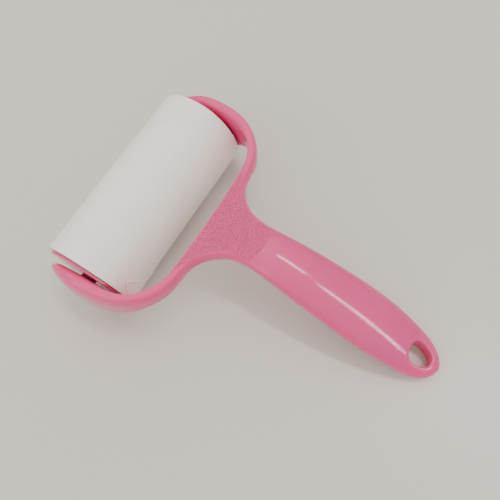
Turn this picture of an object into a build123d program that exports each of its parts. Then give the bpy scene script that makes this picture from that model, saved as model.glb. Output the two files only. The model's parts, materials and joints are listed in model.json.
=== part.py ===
"""Hand-held sticky lint roller.

A one-piece forked handle carries a refill (cardboard core, adhesive windings and the outermost
sheet) on two end hubs, which turn on stub axles moulded on the fork's arms.

Frame: +X points along the handle towards the end of the grip, Y is the roll's axis and +Z is up,
with the tool lying on a table on its roll and on the end of its grip.
The origin is on the table, under the middle of the whole tool.
"""
import os

from build123d import *

# ---- refill -----------------------------------------------------------------------------------
ROLL_WIDTH = 100.0
ROLL_RADIUS = 24.6
CORE_BORE_RADIUS = 19.0
CORE_WALL = 1.2
SHEET_THICKNESS = 0.15
LAYER_GAP = 0.03  # air between core, windings and outermost sheet

# ---- end hubs and stub axles ------------------------------------------------------------------
FLANGE_RADIUS = 21.8
FLANGE_THICKNESS = 1.5
FLANGE_GAP = 0.15
SPIGOT_DEPTH = 12.0
SPIGOT_WALL = 1.6
SPIGOT_CLEARANCE = 0.05
BEARING_RADIUS = 6.4
BEARING_DEPTH = 9.0
SPOKES = 6
SPOKE_THICKNESS = 1.2
AXLE_RADIUS = 4.0
RUNNING_CLEARANCE = 0.08
AXLE_CHAMFER = 0.8

# ---- forked handle ----------------------------------------------------------------------------
GRIP_REACH = 168.0  # from the roll's axis to the end of the grip
WALL = 2.2
RIB_THICKNESS = 1.4
RIB_PITCH = 15.0
RIB_FIRST = 84.0
RIB_COUNT = 5
PARTING_DRAFT = 1.6  # how far the skirt below the parting line leans in
HOLE_FROM_AXIS = 151.4
HOLE_HALF_WIDTH = 8.0  # of the triangle, before its corners are rounded
HOLE_POINT = 167.0
HOLE_CORNER = 3.0

OVERALL_LENGTH = ROLL_RADIUS + GRIP_REACH
AXIS_X = ROLL_RADIUS - OVERALL_LENGTH / 2
AXIS_Z = ROLL_RADIUS
CEILING = 60.0  # above the whole tool

# Sections of one limb, from inside the web to the tip of its arm. Each has, from the roll's
# axis, its inner and outer edge in plan, then its underside, widest line and top above the table,
# and how square its inner and outer sides are (2 is an ellipse).
LIMB_STATIONS = (
    ((42.4, 11.0), (53.5, 9.0), 35.9, 40.4, 45.2, 3.6, 3.6),
    ((42.0, 20.0), (50.2, 17.6), 35.2, 40.2, 44.9, 3.8, 3.3),
    ((41.6, 28.0), (46.9, 28.0), 33.8, 39.3, 44.4, 4.0, 3.0),
    ((39.6, 37.0), (44.8, 38.4), 32.2, 38.4, 44.2, 4.0, 2.8),
    ((34.4, 45.8), (38.2, 49.0), 29.6, 36.6, 44.6, 4.0, 2.6),
    ((25.8, 51.6), (28.0, 56.8), 22.5, 33.0, 45.2, 4.0, 2.3),
    ((12.0, 52.7), (12.6, 62.0), 9.5, 27.0, 44.8, 4.0, 2.2),
    ((0.0, 52.8), (0.0, 62.8), 6.0, 25.0, 43.0, 4.0, 2.2),
    ((-10.0, 53.2), (-11.0, 60.8), 10.0, 25.0, 38.6, 3.6, 2.2),
    ((-17.2, 54.0), (-18.6, 58.0), 17.6, 25.5, 32.8, 3.0, 2.2),
    ((-20.6, 54.8), (-21.2, 56.6), 23.0, 26.0, 29.4, 2.2, 2.2),
)
# Sections of the grip: distance from the roll's axis, half width, then underside, parting line and
# crest above the table.
GRIP_STATIONS = (
    (42.4, 20.2, 36.6, 39.6, 43.8),
    (46.0, 18.0, 36.4, 40.2, 44.8),
    (53.0, 15.0, 36.2, 41.0, 45.2),
    (60.0, 12.2, 35.8, 42.0, 45.9),
    (70.0, 10.9, 34.6, 42.2, 46.3),
    (82.0, 11.6, 31.0, 40.2, 46.0),
    (96.0, 12.8, 26.2, 35.8, 42.6),
    (113.0, 13.7, 20.2, 29.8, 37.0),
    (130.0, 14.0, 13.4, 22.8, 29.8),
    (144.0, 13.0, 7.0, 16.2, 22.2),
    (154.0, 11.5, 2.4, 10.8, 15.8),
    (162.0, 9.0, 0.0, 6.8, 11.2),
    (166.6, 5.0, 1.4, 5.6, 8.4),
)
GRIP_TIP_HEIGHT = 5.0
SECTION_POINTS = 16
HOLLOW_SPAN = slice(4, 11)  # grip stations that are cored out from below
AXLE_STATION = 7  # the limb station that stands at the roll's axis
ARM_HOLLOW_SPAN = slice(6, 9)  # limb stations of the arm's blade that are cored out from below


def power_of(value, exponent):
    """Value raised to a power with its sign kept."""
    return abs(value) ** exponent * (1 if value >= 0 else -1)


def limb_section(inner, outer, low, mid, high, inner_power, outer_power, inset=0.0, floor=None):
    """A rounded section that stands upright on the line from inner to outer.

    Inset makes it smaller all round, and floor carries its underside down to that height.
    """
    start = Vector(AXIS_X + inner[0], inner[1], mid)
    end = Vector(AXIS_X + outer[0], outer[1], mid)
    outward = (end - start).normalized()
    half = (end - start).length / 2 - inset
    up = high - mid - inset
    down = mid - low - inset if floor is None else mid - floor
    plane = Plane(origin=(start + end) / 2, x_dir=outward, z_dir=outward.cross(Vector(0, 0, 1)))
    turn = Vector(1, 0).rotate(Axis.Z, 360 / SECTION_POINTS)
    spoke = Vector(1, 0)
    points = []
    for _ in range(SECTION_POINTS):
        power = 2 / (outer_power if spoke.X > 0 else inner_power)
        rise = up if spoke.Y > 0 else down
        points.append((half * power_of(spoke.X, power), rise * power_of(spoke.Y, power)))
        spoke = spoke.rotate(Axis.Z, 360 / SECTION_POINTS)
    points.append(points[0])
    turn_over = SECTION_POINTS // 2
    with BuildSketch(plane) as section:
        with BuildLine():
            Spline(points[: turn_over + 1], tangents=((0, 1), (0, -1)))
            Spline(points[turn_over:], tangents=((0, -1), (0, 1)))
        make_face()
    return section.sketch


def grip_section(from_axis, half_width, low, side, crest, inset=0.0, floor=None):
    """A domed section across the grip, with drafted sides below its parting line."""
    width = half_width - inset
    bottom = low if floor is None else floor
    plane = Plane(origin=(AXIS_X + from_axis, 0, 0), x_dir=(0, 1, 0), z_dir=(1, 0, 0))
    with BuildSketch(plane) as section:
        with BuildLine():
            Spline(
                (width, side),
                (0, crest - inset),
                (-width, side),
                tangents=((-0.25, 1), (-0.25, -1)),
            )
            Line((-width, side), (-width + PARTING_DRAFT, bottom))
            Line((-width + PARTING_DRAFT, bottom), (width - PARTING_DRAFT, bottom))
            Line((width - PARTING_DRAFT, bottom), (width, side))
        make_face()
    return section.sketch


def hole_outline(margin=0.0):
    """The hanging hole in plan: a rounded triangle that points to the end of the grip."""
    with BuildSketch() as outline:
        with BuildLine():
            Polyline(
                (AXIS_X + HOLE_FROM_AXIS, HOLE_HALF_WIDTH),
                (AXIS_X + HOLE_POINT, 0),
                (AXIS_X + HOLE_FROM_AXIS, -HOLE_HALF_WIDTH),
                close=True,
            )
        make_face()
        fillet(outline.vertices(), HOLE_CORNER)
        if margin:
            offset(amount=margin)
    return outline.sketch


# ---- the hollow under the grip, parted by its ribs ----------------------------------------------
with BuildPart() as grip_hollow:
    loft(
        sections=[
            grip_section(*station, inset=WALL, floor=station[2] - WALL)
            for station in GRIP_STATIONS[HOLLOW_SPAN]
        ]
    )
    for rib in range(RIB_COUNT):
        with Locations((AXIS_X + RIB_FIRST + rib * RIB_PITCH, 0, 0)):
            Box(RIB_THICKNESS, 2 * ROLL_RADIUS, 2 * CEILING, mode=Mode.SUBTRACT)
    Box(2 * OVERALL_LENGTH, RIB_THICKNESS, 2 * CEILING, mode=Mode.SUBTRACT)
    extrude(hole_outline(WALL), amount=CEILING, both=True, mode=Mode.SUBTRACT)

# ---- the hollow under one arm's blade, with a solid post behind its stub axle --------------------
with BuildPart() as arm_hollow:
    loft(
        sections=[
            limb_section(*station, inset=WALL, floor=station[2] - WALL)
            for station in LIMB_STATIONS[ARM_HOLLOW_SPAN]
        ]
    )
    with Locations((AXIS_X, ROLL_WIDTH / 2, 0)):
        Box(2 * AXLE_RADIUS, ROLL_WIDTH, 2 * CEILING, mode=Mode.SUBTRACT)

# ---- forked handle: grip, web, two arms and their stub axles, in one moulding -------------------
with BuildPart() as fork_handle:
    loft(sections=[limb_section(*station) for station in LIMB_STATIONS])
    add(arm_hollow.part, mode=Mode.SUBTRACT)
    with BuildSketch(Plane(origin=(AXIS_X, LIMB_STATIONS[AXLE_STATION][0][1] + WALL / 2, AXIS_Z), z_dir=(0, -1, 0))):
        Circle(AXLE_RADIUS)
    extrude(amount=LIMB_STATIONS[AXLE_STATION][0][1] + WALL / 2 - ROLL_WIDTH / 2 + BEARING_DEPTH)
    chamfer(fork_handle.edges().filter_by(GeomType.CIRCLE).sort_by(Axis.Y)[0], AXLE_CHAMFER)
    mirror(about=Plane.XZ)
    loft(
        sections=[grip_section(*station) for station in GRIP_STATIONS]
        + [Vertex(AXIS_X + GRIP_REACH, 0, GRIP_TIP_HEIGHT)]
    )
    add(grip_hollow.part, mode=Mode.SUBTRACT)
    extrude(hole_outline(), amount=CEILING, both=True, mode=Mode.SUBTRACT)
fork_handle.part.label = "fork_handle"

# ---- end hubs: flange, spigot in the core, bearing tube on the stub axle ------------------------
hubs = []
for name, side in (("hub_left", -1), ("hub_right", 1)):
    seat = Plane(
        origin=(AXIS_X, side * (ROLL_WIDTH / 2 + FLANGE_GAP), AXIS_Z), x_dir=(1, 0, 0), z_dir=(0, side, 0)
    )
    spigot_radius = CORE_BORE_RADIUS - SPIGOT_CLEARANCE
    with BuildPart() as hub:
        with BuildSketch(seat):
            Circle(FLANGE_RADIUS)
        extrude(amount=FLANGE_THICKNESS)
        with BuildSketch(seat):
            Circle(spigot_radius)
            Circle(spigot_radius - SPIGOT_WALL, mode=Mode.SUBTRACT)
        extrude(amount=-SPIGOT_DEPTH)
        with BuildSketch(seat):
            Circle(BEARING_RADIUS)
            with PolarLocations(spigot_radius / 2, SPOKES):
                Rectangle(spigot_radius - SPIGOT_WALL / 2, SPOKE_THICKNESS)
        extrude(amount=-BEARING_DEPTH)
        with BuildSketch(seat.offset(FLANGE_THICKNESS)):
            Circle(AXLE_RADIUS + RUNNING_CLEARANCE)
        extrude(amount=-2 * SPIGOT_DEPTH, mode=Mode.SUBTRACT)
        rim = hub.edges().filter_by(GeomType.CIRCLE).group_by(SortBy.RADIUS)[-1]
        fillet(rim, FLANGE_THICKNESS / 4)
    hub.part.label = name
    hubs.append(hub.part)

# ---- refill: core, windings and the outermost sheet, all on the roll's axis ---------------------
CORE_OUTER_RADIUS = CORE_BORE_RADIUS + CORE_WALL
SHEET_INNER_RADIUS = ROLL_RADIUS - SHEET_THICKNESS
roll_end = Plane(origin=(AXIS_X, -ROLL_WIDTH / 2, AXIS_Z), x_dir=(1, 0, 0), z_dir=(0, 1, 0))

with BuildPart() as core_tube:
    with BuildSketch(roll_end):
        Circle(CORE_OUTER_RADIUS)
        Circle(CORE_BORE_RADIUS, mode=Mode.SUBTRACT)
    extrude(amount=ROLL_WIDTH)
core_tube.part.label = "core_tube"

with BuildPart() as adhesive_windings:
    with BuildSketch(roll_end):
        Circle(SHEET_INNER_RADIUS - LAYER_GAP)
        Circle(CORE_OUTER_RADIUS + LAYER_GAP, mode=Mode.SUBTRACT)
    extrude(amount=ROLL_WIDTH)
adhesive_windings.part.label = "adhesive_windings"

with BuildPart() as outer_sheet:
    with BuildSketch(roll_end):
        Circle(ROLL_RADIUS)
        Circle(SHEET_INNER_RADIUS, mode=Mode.SUBTRACT)
    extrude(amount=ROLL_WIDTH)
outer_sheet.part.label = "outer_sheet"

os.makedirs("parts", exist_ok=True)
export_step(fork_handle.part, "parts/fork_handle.step")
for hub_part in hubs:
    export_step(hub_part, f"parts/{hub_part.label}.step")
export_step(core_tube.part, "parts/core_tube.step")
export_step(adhesive_windings.part, "parts/adhesive_windings.step")
export_step(outer_sheet.part, "parts/outer_sheet.step")
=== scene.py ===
"""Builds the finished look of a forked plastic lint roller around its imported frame.

The handle, the paper refill and the stage are each made by one operator. Shapes are worked out
with numpy in millimetres from the roll's axis, and put into meshes in metres in the frame's own
coordinates.
"""

import json

import bpy
import numpy as np
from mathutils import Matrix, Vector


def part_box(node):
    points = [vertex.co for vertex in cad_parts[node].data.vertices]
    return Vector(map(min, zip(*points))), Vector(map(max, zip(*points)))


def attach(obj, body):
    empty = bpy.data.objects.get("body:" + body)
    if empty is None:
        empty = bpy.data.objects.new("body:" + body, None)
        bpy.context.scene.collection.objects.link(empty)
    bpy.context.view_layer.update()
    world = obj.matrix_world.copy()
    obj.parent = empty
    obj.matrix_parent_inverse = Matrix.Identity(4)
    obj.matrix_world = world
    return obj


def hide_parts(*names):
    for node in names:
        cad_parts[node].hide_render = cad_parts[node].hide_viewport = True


bl_info = {
    "name": "Lint Roller",
    "version": (1, 0, 0),
    "blender": (4, 5, 0),
    "location": "View3D > Sidebar > Lint Roller",
    "description": "Builds a forked plastic lint roller with its paper refill",
    "category": "Add Mesh",
}

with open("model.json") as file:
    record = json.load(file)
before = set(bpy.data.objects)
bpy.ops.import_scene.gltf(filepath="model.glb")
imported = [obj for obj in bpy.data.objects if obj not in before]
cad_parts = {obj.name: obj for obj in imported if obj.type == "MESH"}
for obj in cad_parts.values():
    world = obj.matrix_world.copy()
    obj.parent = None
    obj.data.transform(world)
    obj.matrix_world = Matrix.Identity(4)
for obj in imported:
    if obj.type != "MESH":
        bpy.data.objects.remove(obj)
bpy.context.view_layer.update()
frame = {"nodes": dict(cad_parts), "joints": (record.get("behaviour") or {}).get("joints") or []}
SPIN = next(joint for joint in frame["joints"] if joint["name"] == "roll_spin")["pos_m"]
MM = 0.001
AXIS_HEIGHT = SPIN[2] / MM

# ---- shape of the handle, in millimetres from the roll's axis, where y is positive --------------
# Upright sections of one arm: inner edge x, y, outer edge x, y, underside, widest line and top above
# the table, then how square the inner and the outer side are (2 is an ellipse).
ARM_SECTIONS = (
    (42.0, 20.0, 49.6, 18.4, 35.2, 40.2, 44.9, 4.4, 3.4),
    (41.6, 28.0, 46.5, 28.0, 33.8, 39.3, 44.5, 4.4, 3.2),
    (39.6, 37.0, 44.4, 38.3, 32.2, 38.4, 44.3, 4.4, 2.9),
    (34.4, 45.8, 38.2, 49.0, 29.6, 36.6, 44.7, 4.4, 2.7),
    (25.8, 51.5, 28.0, 56.8, 22.5, 33.0, 45.1, 4.4, 2.4),
    (12.0, 52.7, 12.6, 61.3, 9.5, 27.0, 44.8, 4.4, 2.2),
    (0.0, 52.8, 0.0, 61.9, 6.0, 25.0, 42.6, 4.2, 2.2),
    (-9.4, 53.2, -10.2, 60.0, 10.0, 25.0, 37.8, 3.8, 2.2),
    (-15.8, 54.0, -16.9, 57.7, 17.6, 25.5, 32.4, 3.2, 2.2),
    (-18.4, 54.8, -18.9, 56.6, 23.0, 26.0, 29.4, 2.4, 2.2),
)
# Across the grip: x, half width, underside, parting line, crest of the dome.
GRIP_SECTIONS = (
    (40.2, 21.6, 36.6, 40.2, 46.4),
    (46.0, 17.9, 36.4, 40.5, 46.8),
    (53.0, 14.7, 36.2, 41.2, 47.3),
    (60.0, 12.2, 35.8, 42.0, 47.8),
    (66.0, 11.1, 35.2, 42.4, 47.6),
    (70.0, 10.9, 34.6, 42.2, 47.1),
    (73.2, 11.0, 33.9, 41.7, 46.5),
    (77.5, 11.25, 32.6, 41.1, 46.25),
    (82.0, 11.6, 31.0, 40.2, 45.9),
    (96.0, 12.8, 26.2, 35.8, 42.6),
    (113.0, 13.7, 20.2, 29.8, 37.0),
    (130.0, 14.0, 13.4, 22.8, 29.8),
    (144.0, 13.0, 7.0, 16.2, 22.2),
    (154.0, 11.4, 2.4, 10.8, 15.8),
    (162.0, 8.6, 0.1, 6.8, 11.2),
    (166.0, 5.2, 0.5, 5.4, 8.6),
    (168.0, 0.0, 1.2, 4.8, 7.0),
)
# The web: height of its flat top at each x, then its edge towards the roll, its edge away from it
# and how far its underside drops, at each y.
WEB_TOP = (
    (38, 44.9),
    (46, 45.1),
    (53, 45.4),
    (60, 45.8),
    (66, 46.1),
    (72, 46.35),
    (78, 46.9),
    (86, 48),
    (170, 52),
)
WEB_INNER = ((0, 42.5), (10, 42.4), (20, 42.0), (28, 41.5), (33, 40.6), (37.3, 39.4), (44, 36.0))
WEB_OUTER = (
    (0, 54.4),
    (9, 53.2),
    (17.2, 50.0),
    (23, 47.8),
    (28, 46.5),
    (33, 45.6),
    (38.4, 44.4),
    (46, 40.9),
)
WEB_UNDERSIDE = ((0, 0.0), (11, -0.3), (20, -1.1), (29, -2.5), (37, -4.1), (46, -6.5))
WEB_FILLET = 9.0
WEB_SAG = 0.7 / 29**2  # how fast the flat top falls away to both sides
WEB_TO_GRIP = (58, 72)  # x where the web turns into the grip
WEB_TO_ARM = (21, 42)  # y where the web turns into an arm
RIDGE_ROUND = 0.4
WEB_DOME = 6.0
DOME_LEAST = 1.2
WALL = 2.2
EDGE_ROUND = 1.6
FOOT_ROUND = 1.2
RIM_ROUND = 1.3
TIP_ROUND = 2.4
SMALL_ROUND = 0.8
HOLLOW_ROUND = 0.6
GRIP_HOLLOW = (71.0, 158.5)
RIBS = (84.0, 99.0, 114.0, 129.0, 144.0)
RIB_HALF = 0.7
STUB_RADIUS = 4.0
STUB_END = 41.0
STUB_ROOT = 55.0
# Of the hanging hole: x and radius of its two arcs, then a point of a straight side and its lean.
HOLE_WIDE = (158.9, 8.8)
HOLE_NARROW = (156.7, 6.3)
HOLE_SIDE = (153.5, 6.9, 0.32)
HOLE_CORNERS = (1.5, 2.5)  # rounding between the arcs, then between them and the sides
SKIRT_LEAN = 0.12
SKIRT_DEPTH = 11.0
SKIRT_LEAST = 2.0
SKIRT_PAST = 1.4  # how far below its foot the skirt still leans, in heights of the skirt
LOWEST = 0.1
GRAIN_INSET = 1.75  # from the outline to the grain, then how much more over a span of y
GRAIN_NARROWING = 3.4
GRAIN_NARROWS = (20, 44)
GRAIN_END = (60.0, 13.0)  # x and radius of the grain's round end on the grip
GRAIN_GAP = 0.9
GRAIN_BLUR = 0.35
GRAIN_HEIGHTS = (42.0, 44.0)  # there is none on the underside
SLOPE_STEP = 0.1
CELL = 0.62
NET_BOX = ((-24.2, -65.1, -1.3), (171.0, 65.1, 48.6))

# ---- shape of the refill, in millimetres --------------------------------------------------------
CORNER_PLACE = -44.2  # y of the loose corner, then its angle round the roll in degrees
CORNER_ANGLE = 24.0
HELIX_SLOPE = 0.608  # how far the free edge moves along the roll for each millimetre round it
BACK_SLOPE = -0.9
CORNER_SPREAD = 3.2
CURL = 0.2
CURL_WIDTH = 0.9
SHEET_ROWS = (-40, 41, 91)  # rows are closer up to this y, then how many before and after it
SHEET_TURN = (0.03, 22, 299)  # the same for columns, in turns from the free edge
SHEET_DEPTH = 0.6
WOUND_RADIUS = 20.23
WOUND_GAP = 0.65
WOUND_RECESS = 0.05
WOUND_STEPS = 40
WOUND_SWAY = ((0.03, 2.4), (0.02, 1.1))  # height of each wave in the end faces, and its pace
ROUND_STEPS = 240


# ---- numbers and meshes -------------------------------------------------------------------------
def spline_through(rows):
    """Natural cubic spline: the first column is where, the others are what it passes through."""
    rows = np.array(rows, float)
    knots, values = rows[:, 0], rows[:, 1:]
    step = np.diff(knots)
    count = len(knots)
    middle = np.arange(1, count - 1)
    system = np.eye(count)
    system[middle, middle - 1] = step[:-1]
    system[middle, middle] = 2 * (step[:-1] + step[1:])
    system[middle, middle + 1] = step[1:]
    right = np.zeros_like(values)
    right[1:-1] = 6 * np.diff(np.diff(values, axis=0) / step[:, None], axis=0)
    return knots, values, np.linalg.solve(system, right)


def along(spline, where):
    """The spline's columns at the given places, as one more axis in front."""
    knots, values, bend = spline
    where = np.asarray(where, float)
    low = np.clip(np.searchsorted(knots, where) - 1, 0, len(knots) - 2)
    span = knots[low + 1] - knots[low]
    past = np.clip((where - knots[low]) / span, -0.5, 1.5)
    left = 1 - past
    columns = []
    for value, curve in zip(values.T, bend.T):
        straight = left * value[low] + past * value[low + 1]
        bent = (left**3 - left) * curve[low] + (past**3 - past) * curve[low + 1]
        columns.append(straight + bent * span**2 / 6)
    return np.array(columns)


def slope_along(spline, where):
    """How fast the spline's first column changes at the given places."""
    rise = along(spline, where + SLOPE_STEP)[0] - along(spline, where - SLOPE_STEP)[0]
    return rise / (2 * SLOPE_STEP)


def ramp(value, start, end):
    """0 before start, 1 after end, and a smooth turn between them."""
    share = np.clip((value - start) / (end - start), 0, 1)
    return share * share * (3 - 2 * share)


def both(a, b, round_by):
    """Inside both shapes, with the edge where they meet rounded off."""
    return np.maximum(a, b) + np.maximum(round_by - np.abs(a - b), 0) ** 2 / (4 * round_by)


def either(a, b, round_by):
    """Inside either shape, with a fillet in the corner where they meet."""
    return -both(-a, -b, round_by)


def add_mesh(name, points, faces, smooth=True):
    """A new object at the origin, from points in millimetres from the roll's axis."""
    mesh = bpy.data.meshes.new(name)
    shift = np.array([SPIN[0], 0.0, 0.0])
    mesh.from_pydata((points * MM + shift).tolist(), [], faces.tolist())
    mesh.polygons.foreach_set("use_smooth", np.full(len(mesh.polygons), smooth))
    mesh.update()
    piece = bpy.data.objects.new(name, mesh)
    bpy.context.scene.collection.objects.link(piece)
    return piece


def grid_faces(rows, columns, wrap=False):
    """Quads of a grid of points stored row by row. With wrap, the last column joins the first."""
    row = np.arange(rows - 1)[:, None]
    column = np.arange(columns if wrap else columns - 1)[None, :]
    after = (column + 1) % columns
    corners = (
        row * columns + column,
        row * columns + after,
        (row + 1) * columns + after,
        (row + 1) * columns + column,
    )
    full = [np.broadcast_to(corner, (rows - 1, column.size)) for corner in corners]
    return np.stack(full, axis=-1).reshape(-1, 4)


# ---- the handle as one smooth solid -------------------------------------------------------------
ARM_MIDDLES = np.array([((s[0] + s[2]) / 2, (s[1] + s[3]) / 2) for s in ARM_SECTIONS])
ARM_STEPS = np.linalg.norm(np.diff(ARM_MIDDLES, axis=0), axis=1)
ARM_LENGTHS = np.concatenate([[0], np.cumsum(ARM_STEPS)])
ARM_END = ARM_LENGTHS[-1]
ARM = spline_through([(length, *section) for length, section in zip(ARM_LENGTHS, ARM_SECTIONS)])
GRIP = spline_through([(x, w * w, low, side, crest) for x, w, low, side, crest in GRIP_SECTIONS])
TOP = spline_through(WEB_TOP)
INNER = spline_through(WEB_INNER)
OUTER = spline_through(WEB_OUTER)
UNDERSIDE = spline_through(WEB_UNDERSIDE)


def arm_place(x, y):
    """For each plan point, how far along the arm its upright section stands, and that section.

    The section is the one whose plan line, from inner to outer edge, passes through the point. The
    nearest of many sample sections starts a few secant steps.
    """
    samples = np.linspace(0, ARM_END, 121)
    inner_x, inner_y, outer_x, outer_y = along(ARM, samples)[:4]
    middle_x = (inner_x + outer_x) / 2
    middle_y = (inner_y + outer_y) / 2
    gap = (x[..., None] - middle_x) ** 2 + (y[..., None] - middle_y) ** 2
    place = samples[np.argmin(gap, axis=-1)]

    def miss(where):
        ix, iy, ox, oy = along(ARM, where)[:4]
        return ((x - ix) * (oy - iy) - (y - iy) * (ox - ix)) / np.hypot(ox - ix, oy - iy)

    for _ in range(4):
        slope = (miss(place + 0.05) - miss(place - 0.05)) / 0.1
        slope = np.where(np.abs(slope) < 0.2, np.where(slope < 0, -0.2, 0.2), slope)
        place = place - np.clip(miss(place) / slope, -1.5, 1.5)
        place = np.clip(place, -2.0, ARM_END + 4.0)
    return place, along(ARM, place)


def rounded_box(across, up, half, rise, power):
    """Distance to |across / half|^power + |up / rise|^power = 1, right to first order."""
    a = np.abs(across) / half
    b = np.abs(up) / rise
    reach = (a**power + b**power + 1e-9) ** (1 / power)
    slope = np.hypot((a / reach) ** (power - 1) / half, (b / reach) ** (power - 1) / rise)
    return (reach - 1) / np.maximum(slope, 0.02)


def arm_distance(place, section, x, y, z):
    """The arm: a rounded box of changing size carried along its plan path, with a round tip."""
    ix, iy, ox, oy, low, side, top, inner_power, outer_power = section
    width = np.hypot(ox - ix, oy - iy)
    across = ((x - ix) * (ox - ix) + (y - iy) * (oy - iy)) / width - width / 2
    half = np.maximum(width / 2, 0.3)
    rise = np.maximum(np.where(z > side, top - side, side - low), 0.3)
    power = np.where(across > 0, outer_power, inner_power)
    body = rounded_box(across, z - side, half, rise, power)
    return both(body, place - ARM_END - 0.5, TIP_ROUND)


def hole_distance(x, y):
    """Distance to the hanging hole in plan, negative inside.

    It is a big arc, two straight sides that close in and a smaller arc, with rounded corners.
    """
    wide = np.hypot(x - HOLE_WIDE[0], y) - HOLE_WIDE[1]
    narrow = np.hypot(x - HOLE_NARROW[0], y) - HOLE_NARROW[1]
    side_x, side_y, lean = HOLE_SIDE
    side = lean * (x - side_x) + np.sqrt(1 - lean**2) * (np.abs(y) - side_y)
    return both(both(wide, narrow, HOLE_CORNERS[0]), side, HOLE_CORNERS[1])


def web_outline(x, y):
    """Distance in plan to the outline of the web and grip, with the fillets between them."""
    width_squared = along(GRIP, x)[0]
    slope = slope_along(GRIP, x)
    grip = (y * y - width_squared) / np.sqrt(slope**2 + 2 * y * y + 2 * np.abs(width_squared) + 0.5)
    edge = along(OUTER, y)[0]
    bar = (x - edge) / np.sqrt(1 + slope_along(OUTER, y) ** 2)
    return either(grip, bar, WEB_FILLET)


def handle_distance(x, y, z):
    """Signed distance to the handle's surface, in millimetres, negative inside.

    The grip is an elliptical dome on leaning sides: with u = (z - side) / (crest - side), its half
    width is w(x) sqrt(1 - u^2). In the web the same dome follows the filleted outline, and a flat
    top cuts it along the ridge. The arms are rounded boxes carried along a path. The stubs, the
    ribbed hollow under the grip and the hanging hole come last.
    """
    y = np.abs(y)
    x, y = np.broadcast_arrays(x, y)
    width_squared, low, side, crest = along(GRIP, x)
    slope = slope_along(GRIP, x)
    to_grip = ramp(x, *WEB_TO_GRIP)
    web_drop = along(UNDERSIDE, y)[0] * (1 - to_grip)
    low = np.maximum(low + web_drop, LOWEST)
    side = side + 0.5 * web_drop
    top = along(TOP, x)[0] - WEB_SAG * y**2
    dome = np.maximum(crest - side, DOME_LEAST)
    below = np.clip((side - z) / np.maximum(side - low, SKIRT_LEAST), 0, SKIRT_PAST)
    up = np.clip((z - side) / dome, 0, None)

    lean = 1 - SKIRT_LEAN * below
    free = np.where(width_squared > 0, 1 - up**2, 1)
    grip_value = y * y - width_squared * free * lean**2
    rise = 2 * width_squared * up / dome
    grip = grip_value / np.sqrt((slope * free) ** 2 + 4 * y * y + rise**2 + 1.0)

    outline = web_outline(x, y)
    across = np.clip(1 + (outline + SKIRT_DEPTH * SKIRT_LEAN * below) / WEB_DOME, 0, None)
    reach = np.hypot(across, up)
    web = (reach - 1) * reach / np.sqrt((across / WEB_DOME) ** 2 + (up / dome) ** 2 + 1e-4)
    shell = web * (1 - to_grip) + grip * to_grip
    shell = both(shell, z - top, RIDGE_ROUND)
    body = both(shell, along(INNER, y)[0] - x, EDGE_ROUND)
    body = both(body, low - z, FOOT_ROUND)

    place, section = arm_place(x, y)
    arm = arm_distance(place, section, x, y, z)
    to_arm = ramp(y, *WEB_TO_ARM)
    body = body * (1 - to_arm) + arm * to_arm

    stub = both(np.hypot(x, z - AXIS_HEIGHT) - STUB_RADIUS, STUB_END - y, SMALL_ROUND)
    stub = np.maximum(stub, y - STUB_ROOT)
    body = either(body, stub, SMALL_ROUND)

    hole = hole_distance(x, y)
    hollow = both(shell + WALL, np.maximum(GRIP_HOLLOW[0] - x, x - GRIP_HOLLOW[1]), 1.0)
    hollow = both(hollow, WALL - hole, 1.0)
    hollow = both(hollow, RIB_HALF - y, SMALL_ROUND)
    for rib in RIBS:
        hollow = both(hollow, RIB_HALF - np.abs(x - rib), SMALL_ROUND)
    body = both(body, -hollow, HOLLOW_ROUND)
    return both(body, -hole, RIM_ROUND)


def net_over(values, start, cell):
    """A closed quad net over the surface where the grid of values changes sign.

    Each cell that the surface crosses has one point, the mean of its edges' crossings, and each
    grid edge that it crosses has one quad, between the four cells round that edge.
    """
    inside = values < 0
    shape = np.array(values.shape) - 1
    count = np.zeros(shape, np.int8)
    corners = [(i, j, k) for i in (0, 1) for j in (0, 1) for k in (0, 1)]
    for i, j, k in corners:
        count += inside[i : i + shape[0], j : j + shape[1], k : k + shape[2]]
    cells = np.argwhere((count > 0) & (count < 8))
    total = np.zeros((len(cells), 3))
    crossings = np.zeros(len(cells))
    for first in corners:
        for axis in range(3):
            if first[axis]:
                continue
            second = list(first)
            second[axis] = 1
            a = values[tuple((cells + first).T)]
            b = values[tuple((cells + second).T)]
            cross = (a < 0) != (b < 0)
            share = np.where(cross, a / np.where(cross, a - b, 1), 0)
            spot = np.tile(np.array(first, float), (len(cells), 1))
            spot[:, axis] += share
            total += spot * cross[:, None]
            crossings += cross
    points = start + (cells + total / crossings[:, None]) * cell
    index = np.full(shape, -1, np.int64)
    index[tuple(cells.T)] = np.arange(len(cells))
    faces = []
    for axis in range(3):
        other, third = (axis + 1) % 3, (axis + 2) % 3
        near = [slice(1, -1)] * 3
        far = [slice(1, -1)] * 3
        near[axis] = slice(0, -1)
        far[axis] = slice(1, None)
        a, b = inside[tuple(near)], inside[tuple(far)]
        edges = np.argwhere(a != b)
        leaves = a[tuple(edges.T)]
        base = edges.copy()
        base[:, other] += 1
        base[:, third] += 1
        ring = []
        for back_other, back_third in ((1, 1), (0, 1), (0, 0), (1, 0)):
            cell_at = base.copy()
            cell_at[:, other] -= back_other
            cell_at[:, third] -= back_third
            ring.append(index[tuple(cell_at.T)])
        ring = np.stack(ring, axis=1)
        faces.append(np.where(leaves[:, None], ring, ring[:, ::-1]))
    return points, np.concatenate(faces)


def evened(points, faces, passes):
    """Moves each point halfway to the middle of its neighbours, as many times as passes says."""
    starts = faces.ravel()
    ends = np.roll(faces, -1, axis=1).ravel()
    share = np.bincount(starts, minlength=len(points))
    for _ in range(passes):
        middle = np.stack(
            [np.bincount(starts, points[ends, axis], len(points)) for axis in range(3)], axis=1
        )
        points = (points + middle / share[:, None]) / 2
    return points


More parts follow.
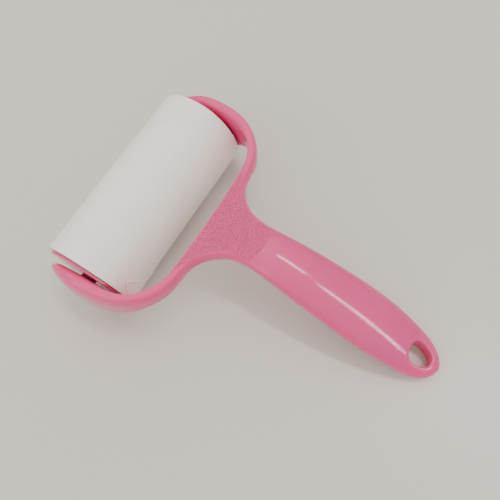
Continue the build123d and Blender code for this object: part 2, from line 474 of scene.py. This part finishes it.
def settled(points, rounds):
    """Moves points along the slope of the distance until they lie on the handle's surface."""
    step = 0.02
    for _ in range(rounds):
        here = handle_distance(*points.T)
        slope = np.stack(
            [
                handle_distance(*(points + offset).T) - handle_distance(*(points - offset).T)
                for offset in np.eye(3) * step
            ],
            axis=1,
        ) / (2 * step)
        steep = np.maximum((slope**2).sum(axis=1), 0.2)
        points = points - slope * np.clip(here / steep, -0.3, 0.3)[:, None]
    return points


def grain_share(x, y):
    """1 on the grained flat of the web, inside its ridge and before its round end, and else 0."""
    y = np.abs(y)
    ridge = web_outline(x, y) + GRAIN_INSET + GRAIN_NARROWING * ramp(y, *GRAIN_NARROWS)
    end_x, end_radius = GRAIN_END
    end = np.where(x > end_x, np.hypot(x - end_x, y) - end_radius, -end_radius)
    inner = along(INNER, y)[0] + GRAIN_GAP - x
    edge = np.maximum(np.maximum(ridge, end), inner)
    return 1 - ramp(edge, -GRAIN_BLUR, GRAIN_BLUR)


def make_handle(cell):
    """The whole moulding as one closed net, the same on both sides of y = 0."""
    start = np.array(NET_BOX[0])
    shape = np.ceil((np.array(NET_BOX[1]) - start) / cell).astype(int)
    shape[1] = 2 * int(np.ceil(NET_BOX[1][1] / cell))
    start[1] = -(shape[1] - 1) / 2 * cell
    x, y, z = (start[axis] + cell * np.arange(shape[axis]) for axis in range(3))
    half = shape[1] // 2
    values = handle_distance(x[:, None, None], y[None, half:, None], z[None, None, :])
    values = np.concatenate([values[:, ::-1], values], axis=1)
    points, faces = net_over(values, start, cell)
    points = settled(evened(points, faces, 2), 3)
    return points, faces


# ---- materials ----------------------------------------------------------------------------------
PEBBLES = 1550.0  # pebbles of the grain in a metre
RING_PITCH = 0.00024  # metres from one ring of the wound edge to the next


class Shader:
    """Nodes of one material, added and joined in a few words."""

    def __init__(self, name):
        self.material = bpy.data.materials.new(name)
        self.material.use_nodes = True
        self.tree = self.material.node_tree
        self.surface = self.tree.nodes["Principled BSDF"]
        self.place = self.add("ShaderNodeTexCoord").outputs["Object"]

    def add(self, kind, inputs=None, **settings):
        node = self.tree.nodes.new(kind)
        for key, value in settings.items():
            setattr(node, key, value)
        for key, value in (inputs or {}).items():
            if isinstance(value, bpy.types.NodeSocket):
                self.tree.links.new(value, node.inputs[key])
            else:
                node.inputs[key].default_value = value
        return node

    def set(self, **values):
        for key, value in values.items():
            self.surface.inputs[key.replace("_", " ")].default_value = value

    def link(self, output, name):
        self.tree.links.new(output, self.surface.inputs[name])

    def noise(self, scale, detail=2.0, place=None, roughness=0.5):
        inputs = {
            "Vector": place or self.place,
            "Scale": scale,
            "Detail": detail,
            "Roughness": roughness,
        }
        return self.add("ShaderNodeTexNoise", inputs).outputs["Fac"]

    def between(self, value, low, high, start=0.0, end=1.0):
        """The value turned from the span start to end into the span low to high."""
        inputs = {
            "Value": value,
            "From Min": start,
            "From Max": end,
            "To Min": low,
            "To Max": high,
        }
        return self.add("ShaderNodeMapRange", inputs).outputs["Result"]

    def mixed(self, share, first, second):
        node = self.add("ShaderNodeMix", data_type="RGBA")
        for key, value in (("Factor", share), ("A", first), ("B", second)):
            socket = [s for s in node.inputs if s.name == key and s.enabled][0]
            if isinstance(value, bpy.types.NodeSocket):
                self.tree.links.new(value, socket)
            else:
                socket.default_value = value
        return [s for s in node.outputs if s.enabled][0]

    def maths(self, operation, first, second):
        return self.add("ShaderNodeMath", {0: first, 1: second}, operation=operation).outputs[0]

    def bump(self, height, distance, strength=1.0, normal=None):
        inputs = {"Height": height, "Distance": distance, "Strength": strength}
        if normal is not None:
            inputs["Normal"] = normal
        return self.add("ShaderNodeBump", inputs).outputs["Normal"]


def tinted(color, factor):
    """The colour made darker or lighter, with its alpha left at 1."""
    return (*(min(channel * factor, 1.0) for channel in color[:3]), 1.0)


def pink_plastic(name, color, grain=True):
    """Glossy pink polypropylene: faint flow marks, fine handling scratches, grain on the web, with
    painted shade in the grain's hollows and a painted highlight on its pebbles.
    """
    shader = Shader(name)
    flow = shader.noise(38.0, 2.0)
    streak = shader.between(flow, 0.0, 1.0, 0.3, 0.7)
    base = shader.mixed(streak, tinted(color, 0.965), tinted(color, 1.03))
    stretched = shader.add(
        "ShaderNodeMapping",
        {"Vector": shader.place, "Rotation": (0.0, 0.0, 0.35), "Scale": (60.0, 900.0, 300.0)},
    ).outputs["Vector"]
    scratch = shader.between(shader.noise(1.0, 3.0, stretched), 0.0, 1.0, 0.62, 0.74)
    peel = shader.noise(260.0, 1.0)
    rough = shader.between(flow, 0.1, 0.15, 0.3, 0.7)
    rough = shader.maths("ADD", rough, shader.maths("MULTIPLY", scratch, 0.06))
    normal = shader.bump(peel, 0.00002, 0.35)
    normal = shader.bump(scratch, 0.000004, 0.5, normal)
    if grain:
        patch = shader.add("ShaderNodeAttribute", attribute_name="grain").outputs["Fac"]
        pebbles = shader.add(
            "ShaderNodeTexVoronoi", {"Vector": shader.place, "Scale": PEBBLES}, feature="F1"
        ).outputs["Distance"]
        coarse = shader.maths("SUBTRACT", 1.0, pebbles)
        height = shader.maths("MULTIPLY", coarse, patch)
        normal = shader.bump(height, 0.0003, 1.0, normal)
        rough = shader.maths("ADD", rough, shader.maths("MULTIPLY", patch, 0.34))
        # Painted shade and painted highlight: the grain's hollows are coloured darker and its pebble
        # tops lighter.
        crown = shader.between(coarse, 0.0, 1.0, 0.4, 0.85)
        pebble_shade_and_highlight = shader.mixed(crown, tinted(color, 0.71), tinted(color, 1.15))
        base = shader.mixed(patch, base, pebble_shade_and_highlight)
    shader.link(base, "Base Color")
    shader.link(rough, "Roughness")
    shader.link(normal, "Normal")
    shader.set(
        Subsurface_Weight=0.7,
        Subsurface_Radius=(1.0, 0.14, 0.22),
        Subsurface_Scale=0.005,
        IOR=1.49,
    )
    return shader.material


def paper(name, color):
    """Satin coated paper: soft mottling, fine fibres and faint wrinkles round the roll."""
    shader = Shader(name)
    cloud = shader.noise(45.0, 4.0)
    patch = shader.between(cloud, 0.0, 1.0, 0.25, 0.75)
    base = shader.mixed(patch, tinted(color, 0.965), tinted(color, 1.02))
    fibres = shader.noise(2600.0, 3.0)
    stretched = shader.add(
        "ShaderNodeMapping", {"Vector": shader.place, "Scale": (160.0, 14.0, 160.0)}
    ).outputs["Vector"]
    wrinkle = shader.noise(1.0, 2.0, stretched)
    normal = shader.bump(fibres, 0.00003, 0.35)
    normal = shader.bump(wrinkle, 0.00015, 0.25, normal)
    shader.link(base, "Base Color")
    shader.link(shader.between(cloud, 0.42, 0.54, 0.3, 0.7), "Roughness")
    shader.link(normal, "Normal")
    shader.set(Subsurface_Weight=0.15, Subsurface_Radius=(1.0, 0.9, 0.8), Subsurface_Scale=0.0008)
    return shader.material


def wound_edge(name, color):
    """Cut edge of many wound layers: fine rings round the roll's axis."""
    shader = Shader(name)
    centred = shader.add(
        "ShaderNodeMapping",
        {"Vector": shader.place, "Location": (-SPIN[0], 0.0, -SPIN[2]), "Scale": (1.0, 0.0, 1.0)},
    ).outputs["Vector"]
    radius = shader.add("ShaderNodeVectorMath", {0: centred}, operation="LENGTH").outputs["Value"]
    rings = shader.maths("SINE", shader.maths("MULTIPLY", radius, 2 * np.pi / RING_PITCH), 0.0)
    blotch = shader.noise(700.0, 3.0)
    uneven = shader.maths("MULTIPLY", blotch, 0.5)
    share = shader.maths("ADD", shader.between(rings, 0.0, 0.5, -1.0, 1.0), uneven)
    base = shader.mixed(share, tinted(color, 0.86), tinted(color, 1.0))
    normal = shader.bump(share, 0.00003, 0.5)
    shader.link(base, "Base Color")
    shader.link(shader.between(blotch, 0.6, 0.8), "Roughness")
    shader.link(normal, "Normal")
    return shader.material


def grey_board(name, color):
    """Spiral-wound grey board: fibres, specks and the helical seam of its plies."""
    shader = Shader(name)
    fibres = shader.noise(1500.0, 4.0)
    specks = shader.between(shader.noise(620.0, 2.0), 0.0, 1.0, 0.62, 0.7)
    seam = shader.add(
        "ShaderNodeTexWave",
        {"Vector": shader.place, "Scale": 24.0, "Distortion": 0.6},
        bands_direction="DIAGONAL",
    ).outputs["Fac"]
    base = shader.mixed(fibres, tinted(color, 0.82), tinted(color, 1.08))
    base = shader.mixed(shader.maths("MULTIPLY", specks, 0.5), base, tinted(color, 0.5))
    height = shader.maths("ADD", fibres, shader.maths("MULTIPLY", seam, 0.4))
    shader.link(base, "Base Color")
    shader.link(shader.between(fibres, 0.75, 0.92), "Roughness")
    shader.link(shader.bump(height, 0.0001, 0.5), "Normal")
    return shader.material


def table_top(name, color):
    """Pale laminate: barely uneven in tone and gloss."""
    shader = Shader(name)
    cloud = shader.noise(3.0, 3.0)
    patch = shader.between(cloud, 0.0, 1.0, 0.3, 0.7)
    base = shader.mixed(patch, tinted(color, 0.985), tinted(color, 1.01))
    shader.link(base, "Base Color")
    shader.link(shader.between(cloud, 0.3, 0.38, 0.3, 0.7), "Roughness")
    shader.set(IOR=1.45)
    return shader.material


# ---- settings -----------------------------------------------------------------------------------
def color_setting(name, description, default):
    return bpy.props.FloatVectorProperty(
        name=name, description=description, subtype="COLOR", size=3, default=default
    )


def power_setting(name, description, default):
    return bpy.props.FloatProperty(name=name, description=description, default=default)


class HandleSettings(bpy.types.PropertyGroup):
    """Sizes and colour of the forked handle."""

    color: color_setting("Plastic", "Colour of the moulding", (0.79, 0.069, 0.25))
    hub_color: color_setting("Hubs", "Colour of the two end hubs", (0.78, 0.072, 0.22))
    cell: bpy.props.FloatProperty(
        name="Net spacing", description="Side of the net's cells", unit="LENGTH", default=CELL * MM
    )


class RefillSettings(bpy.types.PropertyGroup):
    """Sizes and colours of the wound paper refill."""

    radius: bpy.props.FloatProperty(
        name="Radius",
        description="Outside of the outermost sheet",
        unit="LENGTH",
        default=(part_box("outer_sheet")[1].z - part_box("outer_sheet")[0].z) / 2,
    )
    half_length: bpy.props.FloatProperty(
        name="Half length",
        description="From the middle of the roll to either end",
        unit="LENGTH",
        default=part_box("outer_sheet")[1].y,
    )
    layer: bpy.props.FloatProperty(
        name="Layer", description="Thickness of one sheet", unit="LENGTH", default=0.00025
    )
    lift: bpy.props.FloatProperty(
        name="Corner lift",
        description="How far the loose corner stands off",
        unit="LENGTH",
        default=0.0007,
    )
    paper_color: color_setting("Paper", "Colour of the sheets", (0.94, 0.93, 0.83))
    board_color: color_setting("Core", "Colour of the core", (0.42, 0.36, 0.29))


class StageSettings(bpy.types.PropertyGroup):
    """Camera, floor and lights."""

    lens: bpy.props.FloatProperty(
        name="Lens", description="Focal length in millimetres on a 36 mm frame", default=33.35
    )
    floor_color: color_setting("Floor", "Colour of the table top", (0.635, 0.60, 0.54))
    tube_power: power_setting("Tubes", "Power of the nearer overhead tube, in watts", 3.6)
    window_power: power_setting("Window", "Power of the low light in front, in watts", 6.0)
    side_power: power_setting("Side", "Power of the broad side light, in watts", 8.0)
    sky: power_setting("Sky", "Strength of the world's light straight above", 1.5)


# ---- operators ----------------------------------------------------------------------------------
class LINT_OT_handle(bpy.types.Operator):
    """Makes the forked handle as one moulding with its grained web"""

    bl_idname = "lint.handle"
    bl_label = "Handle"

    def execute(self, context):
        settings = context.scene.lint_handle
        points, faces = make_handle(settings.cell / MM)
        handle = add_mesh("handle_moulding", points, faces)
        patch = handle.data.attributes.new("grain", "FLOAT", "POINT")
        share = grain_share(points[:, 0], points[:, 1]) * ramp(points[:, 2], *GRAIN_HEIGHTS)
        patch.data.foreach_set("value", share.astype(np.float32))
        handle.data.materials.append(pink_plastic("pink_polypropylene", settings.color))
        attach(handle, "handle")
        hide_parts("fork_handle")
        return {"FINISHED"}


class LINT_OT_hubs(bpy.types.Operator):
    """Finishes the two end hubs that the roll turns on"""

    bl_idname = "lint.hubs"
    bl_label = "Hubs"

    def execute(self, context):
        finish = pink_plastic("hub_plastic", context.scene.lint_handle.hub_color, grain=False)
        for name in ("hub_left", "hub_right"):
            hub = frame["nodes"][name]
            hub.data.materials.clear()
            hub.data.materials.append(finish)
        return {"FINISHED"}


def two_spacings(start, end, turn, before, after):
    """Places from start to end with one spacing up to turn and another after it."""
    return np.concatenate([np.linspace(start, turn, before), np.linspace(turn, end, after)[1:]])


def free_edge(y, radius):
    """Angle round the roll, in radians, of the outermost sheet's free edge at each place along it.

    It runs round as a helix from the loose corner, and turns back from the corner to the near end.
    """
    past = y - CORNER_PLACE
    slope = np.where(past > 0, HELIX_SLOPE, BACK_SLOPE)
    return np.radians(CORNER_ANGLE) - past / slope / radius


class LINT_OT_refill(bpy.types.Operator):
    """Makes the wound layers and the outermost sheet with its loose corner, and finishes the core"""

    bl_idname = "lint.refill"
    bl_label = "Refill"

    def sheet(self, settings):
        """One layer laid round the roll: radius = R - c - t turn, so it ends in a step t high.

        The grid's columns follow the free edge. The edge curls out by c exp(-(d / w)^2), and its
        corner is lifted by l exp(-(d / s)^2), where d is how far a point is from either.
        """
        radius = settings.radius / MM
        end = settings.half_length / MM
        layer = settings.layer / MM
        lift = settings.lift / MM
        y = two_spacings(-end, end, *SHEET_ROWS)
        turn = two_spacings(0, 1, *SHEET_TURN)
        angle = free_edge(y, radius)[:, None] - 2 * np.pi * turn
        from_edge = 2 * np.pi * turn * radius
        from_corner = np.hypot(y[:, None] - CORNER_PLACE, from_edge)
        outer = radius - CURL - layer * turn + CURL * np.exp(-((from_edge / CURL_WIDTH) ** 2))
        outer = outer + lift * np.exp(-((from_corner / CORNER_SPREAD) ** 2))
        inner = np.full_like(outer, radius - SHEET_DEPTH)
        reach = np.concatenate([outer, inner], axis=1)
        angle = np.concatenate([angle, angle[:, ::-1]], axis=1)
        grid = np.empty((*reach.shape, 3))
        grid[..., 0] = reach * np.cos(angle)
        grid[..., 1] = y[:, None]
        grid[..., 2] = reach * np.sin(angle) + AXIS_HEIGHT
        count = reach.shape[1]
        sides = grid_faces(len(y), count, wrap=True)
        first = np.arange(count // 2 - 1)
        near = np.stack([first, first + 1, count - 2 - first, count - 1 - first], axis=1)
        far = near[:, ::-1] + (len(y) - 1) * count
        return grid.reshape(-1, 3), np.concatenate([sides, near, far])

    def windings(self, settings):
        """A ring turned round the axis. Its end faces step in and out a little, layer by layer."""
        outer = settings.radius / MM - WOUND_GAP
        end = settings.half_length / MM - WOUND_RECESS
        layer = np.arange(WOUND_STEPS)
        sway = np.repeat(sum(wave * np.sin(layer * pace) for wave, pace in WOUND_SWAY), 2)
        radii = np.repeat(np.linspace(WOUND_RADIUS, outer, WOUND_STEPS + 1), 2)[1:-1]
        near = np.stack([radii, sway - end], axis=1)
        far = np.stack([radii[::-1], end - sway[::-1]], axis=1)
        profile = np.concatenate([near, far])
        turn = np.linspace(0, 2 * np.pi, ROUND_STEPS, endpoint=False)[:, None]
        points = np.empty((ROUND_STEPS, len(profile), 3))
        points[..., 0] = np.cos(turn) * profile[:, 0]
        points[..., 1] = profile[:, 1]
        points[..., 2] = np.sin(turn) * profile[:, 0] + AXIS_HEIGHT
        faces = grid_faces(ROUND_STEPS + 1, len(profile), wrap=True)
        return points.reshape(-1, 3), faces % (ROUND_STEPS * len(profile))

    def execute(self, context):
        settings = context.scene.lint_refill
        sheet = add_mesh("outer_sheet_paper", *self.sheet(settings))
        sheet.data.materials.append(paper("satin_paper", settings.paper_color))
        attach(sheet, "roll")
        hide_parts("outer_sheet")
        wound = add_mesh("wound_layers", *self.windings(settings), smooth=False)
        wound.data.materials.append(wound_edge("layer_edges", settings.paper_color))
        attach(wound, "roll")
        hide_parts("adhesive_windings")
        core = frame["nodes"]["core_tube"]
        core.data.materials.clear()
        core.data.materials.append(grey_board("core_board", settings.board_color))
        return {"FINISHED"}


# Of the camera: its own axes and its place, in metres.
CAMERA_RIGHT = (0.84963, 0.52211, -0.07433)
CAMERA_UP = (-0.46630, 0.80958, 0.35657)
CAMERA_BACK = (0.24635, -0.26829, 0.93131)
CAMERA_PLACE = (0.04754, -0.06048, 0.23992)
SENSOR = 36.0
NEAR_CLIP = 0.005
LIGHT_TARGET = (0.03, 0.0, 0.03)
# Of each light: its name, place, width and height in metres, its setting and its share of that.
LIGHTS = (
    ("tube_near", (0.25, 0.28, 1.2), 0.6, 0.065, "tube_power", 1.0),
    ("tube_far", (1.45, 0.17, 1.15), 1.45, 0.15, "tube_power", 3.3),
    ("side_light", (-1.2, 0.5, 1.6), 3.0, 3.0, "side_power", 1.0),
    ("window", (-0.7, -1.3, 0.8), 1.6, 1.0, "window_power", 1.0),
)
SKY_COLOR = (1.0, 0.985, 0.96, 1.0)
SKY_BELOW = 0.3  # strength of the world's light straight below, as a share of that above
FLOOR_HALF = 2.0
FLOOR_POINTS = 41


def facing(place, target):
    """The matrix of a light at its place, with its long side along x and its face to the target."""
    back = np.array(place) - np.array(target)
    back = back / np.linalg.norm(back)
    side = np.array([1.0, 0.0, 0.0]) - back[0] * back
    side = side / np.linalg.norm(side)
    matrix = np.eye(4)
    matrix[:3, 0] = side
    matrix[:3, 1] = np.cross(back, side)
    matrix[:3, 2] = back
    matrix[:3, 3] = place
    return matrix.T


class LINT_OT_stage(bpy.types.Operator):
    """Makes the table top, the lights and the camera"""

    bl_idname = "lint.stage"
    bl_label = "Stage"

    def execute(self, context):
        settings = context.scene.lint_stage
        side = np.linspace(-FLOOR_HALF, FLOOR_HALF, FLOOR_POINTS)
        x, y = np.meshgrid(side, side)
        points = np.stack([x - SPIN[0], y, 0 * x], axis=-1).reshape(-1, 3) / MM
        floor = add_mesh("table_top", points, grid_faces(FLOOR_POINTS, FLOOR_POINTS))
        floor.data.materials.append(table_top("pale_laminate", settings.floor_color))

        camera = bpy.data.objects.new("camera", bpy.data.cameras.new("camera"))
        camera.data.lens = settings.lens
        camera.data.sensor_width = SENSOR
        camera.data.clip_start = NEAR_CLIP
        matrix = np.eye(4)
        matrix[:3] = np.transpose([CAMERA_RIGHT, CAMERA_UP, CAMERA_BACK, CAMERA_PLACE])
        camera.matrix_world = matrix.T
        context.scene.collection.objects.link(camera)
        context.scene.camera = camera

        for name, place, width, height, setting, share in LIGHTS:
            data = bpy.data.lights.new(name, "AREA")
            data.shape = "RECTANGLE"
            data.size = width
            data.size_y = height
            data.energy = getattr(settings, setting) * share
            light = bpy.data.objects.new(name, data)
            light.matrix_world = facing(place, LIGHT_TARGET)
            light.visible_diffuse = name != "tube_far"
            context.scene.collection.objects.link(light)

        world = bpy.data.worlds.new("soft_room")
        world.use_nodes = True
        nodes = world.node_tree.nodes
        links = world.node_tree.links
        background = nodes["Background"]
        background.inputs["Color"].default_value = SKY_COLOR
        height = nodes.new("ShaderNodeSeparateXYZ")
        links.new(nodes.new("ShaderNodeTexCoord").outputs["Generated"], height.inputs[0])
        strength = nodes.new("ShaderNodeMapRange")
        links.new(height.outputs["Z"], strength.inputs["Value"])
        strength.inputs["To Min"].default_value = settings.sky * SKY_BELOW
        strength.inputs["To Max"].default_value = settings.sky
        links.new(strength.outputs["Result"], background.inputs["Strength"])
        context.scene.world = world
        return {"FINISHED"}


class LINT_PT_panel(bpy.types.Panel):
    """Lists what this file makes"""

    bl_idname = "LINT_PT_panel"
    bl_label = "Lint Roller"
    bl_space_type = "VIEW_3D"
    bl_region_type = "UI"
    bl_category = "Lint Roller"

    def draw(self, context):
        for operators, name in PANEL_ROWS:
            box = self.layout.box()
            for operator in operators:
                box.operator(operator.bl_idname)
            settings = getattr(context.scene, name)
            for key in settings.__annotations__:
                box.prop(settings, key)


PANEL_ROWS = (
    ((LINT_OT_handle, LINT_OT_hubs), "lint_handle"),
    ((LINT_OT_refill,), "lint_refill"),
    ((LINT_OT_stage,), "lint_stage"),
)
SETTINGS = (
    ("lint_handle", HandleSettings),
    ("lint_refill", RefillSettings),
    ("lint_stage", StageSettings),
)
OPERATORS = (LINT_OT_handle, LINT_OT_hubs, LINT_OT_refill, LINT_OT_stage)


def register():
    for name, group in SETTINGS:
        bpy.utils.register_class(group)
        setattr(bpy.types.Scene, name, bpy.props.PointerProperty(type=group))
    for kind in (*OPERATORS, LINT_PT_panel):
        bpy.utils.register_class(kind)


def unregister():
    for kind in reversed((*OPERATORS, LINT_PT_panel)):
        bpy.utils.unregister_class(kind)
    for name, group in reversed(SETTINGS):
        delattr(bpy.types.Scene, name)
        bpy.utils.unregister_class(group)


def main():
    register()
    bpy.ops.lint.handle()
    bpy.ops.lint.hubs()
    bpy.ops.lint.refill()
    bpy.ops.lint.stage()


if __name__ == "__main__":
    main()
